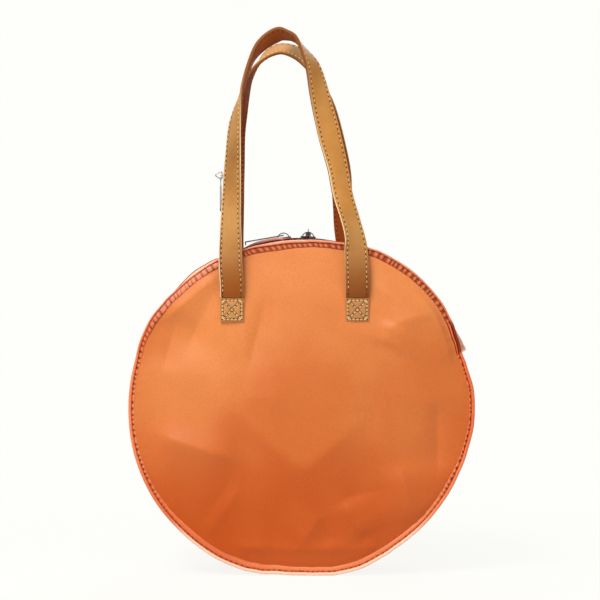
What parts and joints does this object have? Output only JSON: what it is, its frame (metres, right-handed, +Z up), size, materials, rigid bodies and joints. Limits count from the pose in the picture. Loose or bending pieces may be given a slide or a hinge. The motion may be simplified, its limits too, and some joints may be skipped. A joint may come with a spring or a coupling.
{
  "type": "circle bag",
  "caption": "Round padded shoulder bag with a domed front and back, a zip over the top and two flat carrying straps.",
  "frame": {"origin": "middle of the flat bottom that the bag stands on, under the middle of its box", "axes": "+Z up along the bag's height to the straps' tops, +Y through its depth to the back, so the front faces -Y and +X is to the right"},
  "size_m": [0.38, 0.1087, 0.6035],
  "materials": {
    "skin": "soft satin sheen, fine grain",
    "foam": "matt",
    "lining": "satin weave",
    "zip_tape": "woven tape",
    "zip_metal": "plated, polished",
    "piping": "gathered, satin",
    "strap": "smooth, edge stitched",
    "strap_underside": "smooth, matt",
    "thread": "twisted thread",
    "tag_metal": "plated, polished"
  },
  "bodies": {
    "bag": {"front_panel": "skin", "front_foam": "foam", "front_lining": "lining", "back_panel": "skin", "back_foam": "foam", "back_lining": "lining", "lower_gusset": "skin", "lower_foam": "foam", "lower_lining": "lining", "zip_gusset_front": "skin", "zip_foam_front": "foam", "zip_lining_front": "lining", "zip_gusset_rear": "skin", "zip_foam_rear": "foam", "zip_lining_rear": "lining", "zip_tape_front": "zip_tape", "zip_tape_rear": "zip_tape", "zip_teeth_front": "zip_metal", "zip_teeth_rear": "zip_metal", "zip_stops": "zip_metal", "zip_end_tabs": "skin", "front_piping": "piping", "back_piping": "piping", "front_piping_cord": "foam", "back_piping_cord": "foam", "front_strap_ends": "strap", "rear_strap_ends": "strap"},
    "front_handle": {"front_handle": "strap", "front_handle_underside": "strap_underside"},
    "rear_handle": {"rear_handle": "strap", "rear_handle_underside": "strap_underside", "hang_loop": "thread"},
    "left_slider": {"left_slider": "zip_metal"},
    "left_pull": {"left_pull": "zip_metal"},
    "right_slider": {"right_slider": "zip_metal"},
    "right_pull": {"right_pull": "zip_metal"},
    "hang_ring": {"hang_ring": "tag_metal"},
    "hang_tag": {"hang_tag": "tag_metal"}
  },
  "joints": [
    {"name": "front_handle_swing", "type": "hinge", "parent": "bag", "child": "front_handle", "pos_m": [0, -0.04867, 0.3054], "axis": [1, 0, 0], "range_deg": [0, 170]},
    {"name": "rear_handle_swing", "type": "hinge", "parent": "bag", "child": "rear_handle", "pos_m": [0, 0.04867, 0.3054], "axis": [-1, 0, 0], "range_deg": [0, 170]},
    {"name": "left_slider_travel", "type": "hinge", "parent": "bag", "child": "left_slider", "pos_m": [0, 0, 0.184], "axis": [0, -1, 0], "range_deg": [-1, 41], "deforming": ["zip_teeth_front", "zip_teeth_rear"]},
    {"name": "right_slider_travel", "type": "hinge", "parent": "bag", "child": "right_slider", "pos_m": [0, 0, 0.184], "axis": [0, 1, 0], "range_deg": [-1, 53], "deforming": ["zip_teeth_front", "zip_teeth_rear"]},
    {"name": "left_pull_swing", "type": "hinge", "parent": "left_slider", "child": "left_pull", "pos_m": [-0.02114, 0, 0.37549], "axis": [0, 1, 0], "range_deg": [0, 150]},
    {"name": "right_pull_swing", "type": "hinge", "parent": "right_slider", "child": "right_pull", "pos_m": [0.00716, 0, 0.37917], "axis": [0.9993, 0, -0.0366], "range_deg": [0, 150]},
    {"name": "hang_ring_swing", "type": "hinge", "parent": "rear_handle", "child": "hang_ring", "pos_m": [-0.09182, 0.03603, 0.44623], "axis": [0, 1, 0], "range_deg": [0, 20]},
    {"name": "hang_tag_swing", "type": "hinge", "parent": "hang_ring", "child": "hang_tag", "pos_m": [-0.09332, 0.03603, 0.44223], "axis": [1, 0, 0], "range_deg": [-50, 50]}
  ]
}
